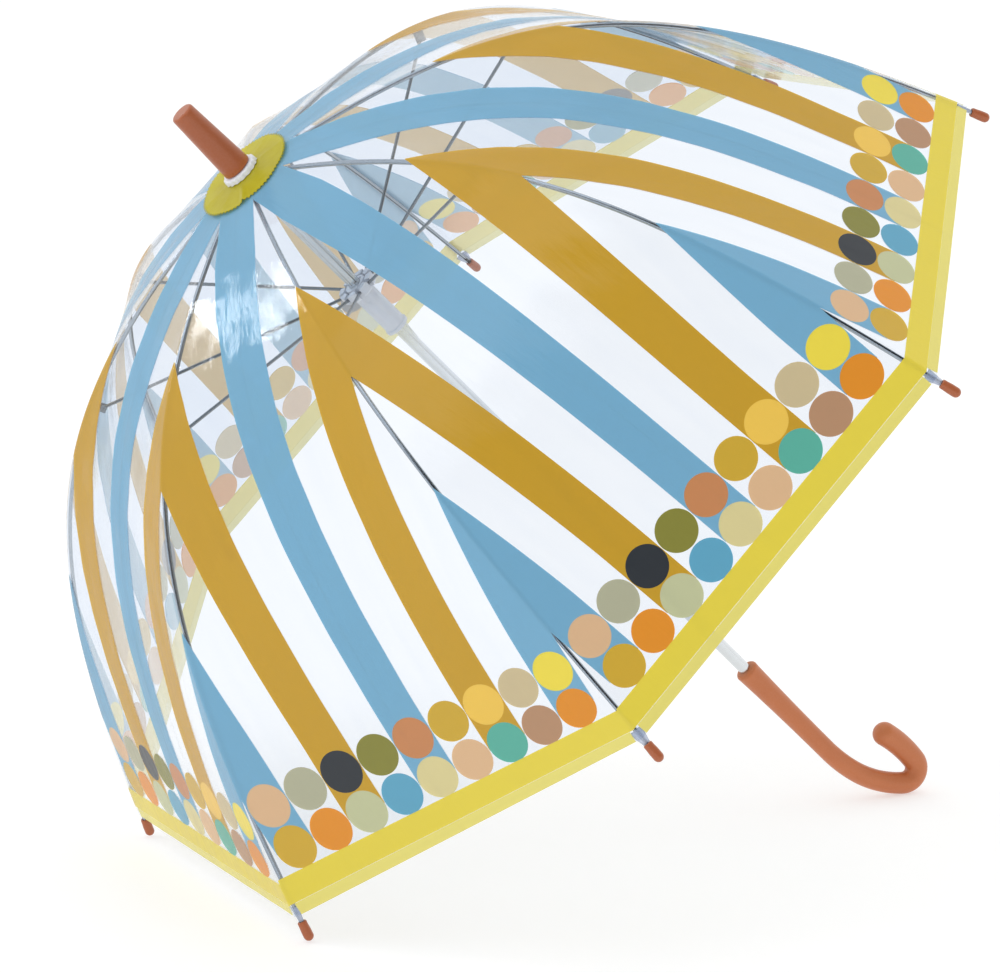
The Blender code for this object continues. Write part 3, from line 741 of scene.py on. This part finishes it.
def make_tip(k):
    """A moulded cap: a narrow mouth, a barrel that swells a little, and a round end."""
    r = TIP_RADIUS
    outline = [(0.0, TIP_LENGTH)]
    for i in range(1, ROUND_STEPS + 1):
        turn = pi / 2 * i / ROUND_STEPS
        outline.append((r * sin(turn), TIP_LENGTH - r * (1 - cos(turn))))
    outline += [(r * share, height) for share, height in TIP_SIDE]
    outline += [(TIP_BORE, 0.0), (TIP_BORE, TIP_BORE_DEPTH), (0.0, TIP_BORE_DEPTH)]
    bm = spun(outline, 28)
    point, along, out = rib_station(1.0)
    start = point + along * (TIP_END - TIP_LENGTH)
    place = to_rib(k) @ section_matrix(start, along, out)
    cap = piece(f"rib_cap_{k}", bm, place, GLOSSY_TERRACOTTA)
    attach(cap, f"rib_{k}")
    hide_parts(f"rib_tip_{k}")


TAB_FROM = -0.0060
TAB_LENGTH = 0.0100
TAB_HALF_HEM = 0.0044
TAB_HALF_TIP = 0.0022
TAB_LIFT = 0.0017
TAB_ROUNDED = 0.0012
TAB_SPREAD = 0.0006
TAB_SLOPE = 0.0003
TAB_WALL = 0.0005


def make_corner_tab(k):
    """The hem's corner, folded round the rib and drawn in to the cap's mouth."""
    bm = bmesh.new()
    bmesh.ops.create_grid(bm, x_segments=8, y_segments=6, size=1.0)
    point, along, out = rib_station(1.0)
    for vert in bm.verts:
        side, down = vert.co.x, (1.0 - vert.co.y) / 2
        half = TAB_HALF_HEM * (1.0 - down) + TAB_HALF_TIP * down
        lift = TAB_LIFT - TAB_ROUNDED * abs(side) ** 2
        lift = lift - TAB_SPREAD * (1.0 - down) * abs(side) - TAB_SLOPE * down
        spot = point + along * (TAB_FROM + TAB_LENGTH * down) + out * lift
        vert.co = spot + Vector((0.0, half * side, 0.0))
    bm.normal_update()
    if sum(face.normal.dot(out) for face in bm.faces) < 0:
        bmesh.ops.reverse_faces(bm, faces=bm.faces)
    tab = piece(f"corner_tab_{k}", bm, to_rib(k), CLEAR_TAB, smooth=0.0)
    wall = tab.modifiers.new("wall", "SOLIDIFY")
    wall.thickness = TAB_WALL
    wall.offset = -1.0
    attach(tab, f"rib_{k}")


def make_rib_joint(k):
    joint = smoothed_copy(f"rib_joint_{k}", f"rib_clip_{k}", DARK_STEEL, 0.0002)
    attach(joint, f"rib_{k}")


def make_stretcher(k):
    bar = smoothed_copy(f"stretcher_{k}", f"stretcher_bar_{k}", DARK_STEEL, 0.00012)
    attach(bar, f"stretcher_{k}")


# ---------------------------------------------------------------- crown


def arc(centre, radius, start, end, steps):
    turns = [radians(start + (end - start) * i / steps) for i in range(steps + 1)]
    return [(centre[0] + radius * cos(a), centre[1] + radius * sin(a)) for a in turns]


FERRULE_FLAT = 0.002
FERRULE_FOOT = 0.001
FERRULE_EDGE = 0.0008
FERRULE_BORE_DEPTH = 0.0283
FERRULE_STEPS = 8


def make_ferrule():
    """A blunt cone with a rounded end."""
    top = FERRULE_BASE + FERRULE_LENGTH
    r = FERRULE_ROUNDING
    outline = [(0.0, top)]
    outline += [(FERRULE_TIP_RADIUS - r - FERRULE_FLAT, top)]
    outline += arc((FERRULE_TIP_RADIUS - r, top - r), r, 90, 4, 6)
    for i in range(1, FERRULE_STEPS):
        share = i / FERRULE_STEPS
        radius = FERRULE_TIP_RADIUS + (FERRULE_BASE_RADIUS - FERRULE_TIP_RADIUS) * share
        outline.append((radius, top - r + (FERRULE_BASE + FERRULE_FOOT - top + r) * share))
    edge = (FERRULE_BASE_RADIUS - FERRULE_EDGE, FERRULE_BASE + FERRULE_EDGE)
    outline += arc(edge, FERRULE_EDGE, 0, -90, 4)
    bore_end = FERRULE_BASE + FERRULE_BORE_DEPTH
    outline += [(BORE_RADIUS, FERRULE_BASE), (BORE_RADIUS, bore_end), (0.0, bore_end)]
    cap = piece("ferrule_cap", spun(outline, 64), LEAN, GLOSSY_TERRACOTTA, smooth=SHARP)
    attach(cap, "shaft")
    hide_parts("ferrule")


RING_EDGE = 0.0013
RING_EDGE_INSET = 0.0016
RING_SIDE = 0.0006
RING_SKIRT = 0.0021
SCALLOPS = 16
SCALLOP_DEPTH = 0.075


def make_crown_ring():
    """A white ring whose skirt is scalloped."""
    top = RING_BASE + RING_HEIGHT
    outline = [(BORE_RADIUS, top)]
    outline += arc((RING_RADIUS - RING_EDGE_INSET, top - RING_EDGE), RING_EDGE, 90, 0, 5)
    outline += [(RING_RADIUS, RING_BASE + RING_SIDE), (RING_RADIUS, RING_BASE)]
    outline += [(BORE_RADIUS, RING_BASE)]
    bm = spun(outline, 128, closed=True)
    for vert in bm.verts:
        far = hypot(vert.co.x, vert.co.y)
        if far < RING_RADIUS - RING_SKIRT:
            continue
        turn = atan2(vert.co.y, vert.co.x)
        scallop = 1.0 - SCALLOP_DEPTH * abs(sin(SCALLOPS / 2 * turn)) ** 3
        vert.co.x *= scallop
        vert.co.y *= scallop
    ring = piece("crown_collar", bm, LEAN, WHITE, smooth=SHARP)
    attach(ring, "shaft")
    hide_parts("crown_ring")


ROSETTE_TEETH = 72
ROSETTE_HOLE = 0.0046
ROSETTE_RINGS = 14
ROSETTE_CLEAR = 0.0006
ROSETTE_WALL = 0.00035
TOOTH_DEPTH = 0.0020
LIFTS_FROM = 0.013
LIFTS_OVER = 0.020
CREASE_AT = 238
CREASE_HEIGHT = 0.0020
CREASE_WIDTH = 0.0030
TILTED_TO = 79.0
TILT = 0.0018


def make_rosette():
    """A disc of soft film that lies over the crown, with a pinked edge and one small crease."""
    bm = bmesh.new()
    count = 2 * ROSETTE_TEETH
    inner = ROSETTE_HOLE
    made = bmesh.ops.create_circle(bm, segments=count, radius=inner)
    rim = list({edge for vert in made["verts"] for edge in vert.link_edges})
    for i in range(ROSETTE_RINGS):
        grown = bmesh.ops.extrude_edge_only(bm, edges=rim)
        verts = [g for g in grown["geom"] if isinstance(g, bmesh.types.BMVert)]
        rim = [g for g in grown["geom"] if isinstance(g, bmesh.types.BMEdge)]
        rim = [e for e in rim if all(v in set(verts) for v in e.verts)]
        radius = inner + (ROSETTE_RADIUS - inner) * (i + 1) / ROSETTE_RINGS
        for vert in verts:
            turn = atan2(vert.co.y, vert.co.x)
            tooth = round(turn / (2 * pi) * count) % 2
            reach = radius - (TOOTH_DEPTH * tooth if i == ROSETTE_RINGS - 1 else 0.0)
            vert.co = (reach * cos(turn), reach * sin(turn), 0.0)
    crease = radians(CREASE_AT)
    for vert in bm.verts:
        x, y = vert.co.x, vert.co.y
        far = hypot(x, y)
        turn = (atan2(y, x) - crease + pi) % (2 * pi) - pi
        height = film_height(x, y) + FILM / 2 + ROSETTE_CLEAR
        if far > LIFTS_FROM:
            share = (far - LIFTS_FROM) / LIFTS_OVER
            height += CREASE_HEIGHT * share * max(0.0, 1.0 - abs(turn * far) / CREASE_WIDTH)
            height += TILT * share * (1.0 + cos(atan2(y, x) - radians(TILTED_TO)))
        vert.co.z = height
    settle(bm)
    if sum(face.normal.z for face in bm.faces) < 0:
        bmesh.ops.reverse_faces(bm, faces=bm.faces)
    disc = piece("rosette", bm, LEAN, YELLOW_FILM, smooth=60.0)
    wall = disc.modifiers.new("wall", "SOLIDIFY")
    wall.thickness = ROSETTE_WALL
    wall.offset = 1.0
    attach(disc, "shaft")
    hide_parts("crown_rosette")


# ---------------------------------------------------------------- handle


def hook_line():
    """Stations of the handle's middle line: point, and how far it has turned from straight down."""
    point = Vector((0.0, HANDLE_TOP))
    turned = 0.0
    line = [(point.copy(), turned)]
    runs = [(HANDLE_STRAIGHT, 0.0)] + [(r * radians(a), radians(a)) for r, a in HOOK_BENDS]
    for length, turn in runs:
        steps = max(1, round(length / HOOK_STEP))
        for _ in range(steps):
            turned += turn / steps / 2
            point = point + Vector((sin(turned), -cos(turned))) * (length / steps)
            turned += turn / steps / 2
            line.append((point.copy(), turned))
    return line


def grip_radii(line):
    """Radius of the handle at each station: slimmest where it begins to bend."""
    passed = [0.0]
    for (here, _), (there, _) in zip(line, line[1:]):
        passed.append(passed[-1] + (there - here).length)
    radii = []
    for gone in passed:
        if gone < HANDLE_STRAIGHT:
            fuller = (HANDLE_RADIUS - HANDLE_WAIST_RADIUS) * (1 - gone / HANDLE_STRAIGHT) ** 2
        else:
            share = (gone - HANDLE_STRAIGHT) / (passed[-1] - HANDLE_STRAIGHT)
            fuller = (HOOK_END_RADIUS - HANDLE_WAIST_RADIUS) * share
        radii.append(HANDLE_WAIST_RADIUS + fuller)
    return radii


def handle_station(point, turned, radius):
    along = Vector((sin(turned), 0.0, -cos(turned)))
    out = Vector((cos(turned), 0.0, sin(turned)))
    scale = Matrix.Diagonal((radius, radius, 1.0, 1.0))
    return section_matrix(Vector((point.x, 0.0, point.y)), along, out) @ scale


LIP_STEPS = 6
LIP_CLEAR = 0.001
END_STEPS = 9
END_ROUNDED = 84.0
BORE_STEPS = (0.0006, 0.012, 0.0227)


def make_handle():
    """One moulded piece: a lip round the shaft, a straight grip, the hook, and a round end."""
    line = hook_line()
    lip_turns = [pi / 2 * i / LIP_STEPS for i in range(LIP_STEPS + 1)]
    stations = []
    for a in lip_turns:
        spot = Vector((0.0, HANDLE_TOP - HANDLE_LIP * (1 - cos(a))))
        stations.append(handle_station(spot, 0.0, HANDLE_RADIUS - HANDLE_LIP * (1 - sin(a))))
    for (point, turned), radius in zip(line, grip_radii(line)):
        if point.y < HANDLE_TOP - HANDLE_LIP - LIP_CLEAR:
            stations.append(handle_station(point, turned, radius))
    last, turned = line[-1]
    ahead = Vector((sin(turned), -cos(turned)))
    for i in range(1, END_STEPS + 1):
        a = radians(END_ROUNDED) * i / END_STEPS
        spot = last + ahead * HOOK_END_RADIUS * sin(a)
        stations.append(handle_station(spot, turned, HOOK_END_RADIUS * cos(a)))
    bm, _ = swept(circle(1.0, 36), stations)
    top = max(bm.faces, key=lambda face: face.calc_center_median().z if len(face.verts) > 4 else -9)
    bmesh.ops.inset_region(bm, faces=[top], thickness=HANDLE_RADIUS - HANDLE_LIP - BORE_RADIUS)
    for deep in BORE_STEPS:
        made = bmesh.ops.extrude_face_region(bm, geom=[top])
        top = next(g for g in made["geom"] if isinstance(g, bmesh.types.BMFace))
        bmesh.ops.translate(bm, verts=top.verts[:], vec=(0, 0, -deep))
    settle(bm)
    grip = piece("handle_grip", bm, LEAN, TERRACOTTA, smooth=SHARP)
    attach(grip, "shaft")
    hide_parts("handle")


# ---------------------------------------------------------------- all of it


for k in RIBS:
    make_rib(k)
for k in RIBS:
    film, flat_area = make_film(k)
    fold_film(film, k)
    make_tip(k)
    make_corner_tab(k)
    make_rib_joint(k)
    make_stretcher(k)
make_ferrule()
make_crown_ring()
make_rosette()
make_handle()

for node, name, finish, body, slot in (
    ("shaft_tube", "shaft_bar", BRIGHT_STEEL, "shaft", "bright_steel"),
    ("stop_pin", "stop_rivet", BRIGHT_STEEL, "shaft", "bright_steel"),
    ("top_catch", "top_spring_catch", BRIGHT_STEEL, "top_catch", "bright_steel"),
    ("bottom_catch", "bottom_spring_catch", BRIGHT_STEEL, "bottom_catch", "bright_steel"),
    ("top_notch", "rib_hub", WHITE, "shaft", "white_plastic"),
    ("notch_wire", "hub_wire", DARK_STEEL, "shaft", "dark_steel"),
    ("runner", "runner_sleeve", WHITE, "runner", "white_plastic"),
    ("runner_wire", "collar_wire", DARK_STEEL, "runner", "dark_steel"),
):
    copy = smoothed_copy(node, name, finish)
    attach(copy, body)

# ---------------------------------------------------------------- floor and light


FLOOR_SIZE = 30.0
FLOOR_DROP = 0.0002
FLOOR_DARKER = (0.54, 0.54, 0.54, 1.0)
FLOOR_LIGHTER = (0.57, 0.57, 0.57, 1.0)
FLOOR_GLOW = 0.51


def make_floor():
    """A pale floor that glows a little, so that only what stands on it shades it."""
    bm = bmesh.new()
    bmesh.ops.create_grid(bm, x_segments=1, y_segments=1, size=FLOOR_SIZE)
    f = Finish("studio_floor")
    place = f.add("TexCoord").outputs["Object"]
    base = f.mix_colour(f.noise(place, 3.0), FLOOR_DARKER, FLOOR_LIGHTER)
    body = f.add("BsdfDiffuse", {"Color": base}).outputs[0]
    glow = f.add("Emission", {"Color": (1, 1, 1, 1), "Strength": FLOOR_GLOW}).outputs[0]
    lit = f.add("AddShader", {0: body, 1: glow}).outputs[0]
    lowered = Matrix.Translation((0, 0, -FLOOR_DROP))
    floor = piece("floor", bm, lowered, f.done(lit), smooth=0.0)


ROOM = 1.06
DIM_MIRRORED = 0.03
DIM_DIFFUSED = 0.80
DIM_START = 30.0
DIM_END = 44.0
AHEAD = (0, 0, 1)
ASIDE = (0.55, 0.55, 0.63)


def make_world():
    """A white room, dim round the camera and to its right, so that rods and edges stand out."""
    world = bpy.data.worlds.new("studio")
    world.use_nodes = True
    tree = world.node_tree
    tree.nodes.clear()

    def add(kind, settings, inputs):
        node = tree.nodes.new("ShaderNode" + kind)
        for key, value in settings.items():
            setattr(node, key, value)
        for key, value in inputs.items():
            if isinstance(value, bpy.types.NodeSocket):
                tree.links.new(value, node.inputs[key])
            else:
                node.inputs[key].default_value = value
        return node

    camera = bpy.context.scene.camera.matrix_world.to_3x3()
    place = add("TexCoord", {}, {}).outputs["Generated"]
    dots = []
    for way in (Vector(AHEAD), Vector(ASIDE).normalized()):
        dot = add("VectorMath", {"operation": "DOT_PRODUCT"}, {0: place, 1: camera @ way})
        dots.append(dot.outputs["Value"])
    near = add("Math", {"operation": "MAXIMUM"}, {0: dots[0], 1: dots[1]}).outputs[0]
    light_path = add("LightPath", {}, {})
    limits = {"Value": near, 1: cos(radians(DIM_END)), 2: cos(radians(DIM_START)), 3: ROOM}
    mirrored = add("MapRange", {"interpolation_type": "SMOOTHSTEP"}, {**limits, 4: DIM_MIRRORED})
    diffused = add("MapRange", {"interpolation_type": "SMOOTHSTEP"}, {**limits, 4: DIM_DIFFUSED})
    glossy = light_path.outputs["Is Glossy Ray"]
    shares = {0: glossy, 2: diffused.outputs[0], 3: mirrored.outputs[0]}
    value = add("Mix", {"data_type": "FLOAT"}, shares).outputs[0]
    studio = add("Background", {}, {"Color": (1, 1, 1, 1), "Strength": value}).outputs[0]
    plain = add("Background", {}, {"Color": (1, 1, 1, 1), "Strength": 1.0}).outputs[0]
    seen = light_path.outputs["Is Camera Ray"]
    mixed = add("MixShader", {}, {0: seen, 1: studio, 2: plain}).outputs[0]
    add("OutputWorld", {}, {"Surface": mixed})
    bpy.context.scene.world = world


def soft_box(name, place, aim, width, height, radiance, up=Vector((0, 0, 1))):
    """A flat light of this size that faces the aim, as bright as radiance says."""
    data = bpy.data.lights.new(name, "AREA")
    data.shape = "RECTANGLE"
    data.size = width
    data.size_y = height
    data.energy = radiance * pi * width * height
    obj = bpy.data.objects.new(name, data)
    bpy.context.scene.collection.objects.link(obj)
    back = (Vector(place) - Vector(aim)).normalized()
    side = up.cross(back).normalized()
    top = back.cross(side)
    rows = [[side[i], top[i], back[i], place[i]] for i in range(3)]
    obj.matrix_world = Matrix(rows + [[0, 0, 0, 1]])
    return obj


WINDOW_UP_GORE = 0.326
WINDOW_TURN = 225
WINDOW_SHIFT = -0.012
WINDOW_AWAY = 2.4
WINDOW_WIDTH = 0.13
WINDOW_HEIGHT = 0.60
WINDOW_RADIANCE = 17.0
OVERHEAD_PLACE = (-1.2, -1.0, 3.0)
OVERHEAD_AIM = (0, 0, 0.2)
OVERHEAD_SIZE = 2.2
OVERHEAD_RADIANCE = 0.55


def make_lights():
    """A window light for one highlight, and a large soft light overhead."""
    camera = bpy.context.scene.camera.matrix_world.translation
    # A tall window light, placed where the gore that faces it mirrors it to the front.
    t = FILM_SHARES[round(FILM_ROWS * (1 - WINDOW_UP_GORE / GORE_LENGTH))]
    line = bezier(t)
    turn = radians(WINDOW_TURN)
    _, along, out = rib_station(t)
    spin = Matrix.Rotation(turn, 3, "Z")
    spot = LEAN @ (spin @ Vector((line.x * cos(HALF), WINDOW_SHIFT, line.y)))
    facing = (LEAN.to_3x3() @ (spin @ Vector((out.x, 0.0, out.z)))).normalized()
    to_camera = (camera - spot).normalized()
    mirrored = 2 * facing.dot(to_camera) * facing - to_camera
    slope = LEAN.to_3x3() @ (spin @ along)
    window = spot + mirrored * WINDOW_AWAY
    soft_box("window", window, spot, WINDOW_WIDTH, WINDOW_HEIGHT, WINDOW_RADIANCE, up=slope)
    side = OVERHEAD_SIZE
    soft_box("overhead", OVERHEAD_PLACE, OVERHEAD_AIM, side, side, OVERHEAD_RADIANCE)


make_floor()
make_world()
make_lights()
bpy.context.scene.view_settings.view_transform = "Standard"
bpy.context.scene.cycles.transparent_max_bounces = 24
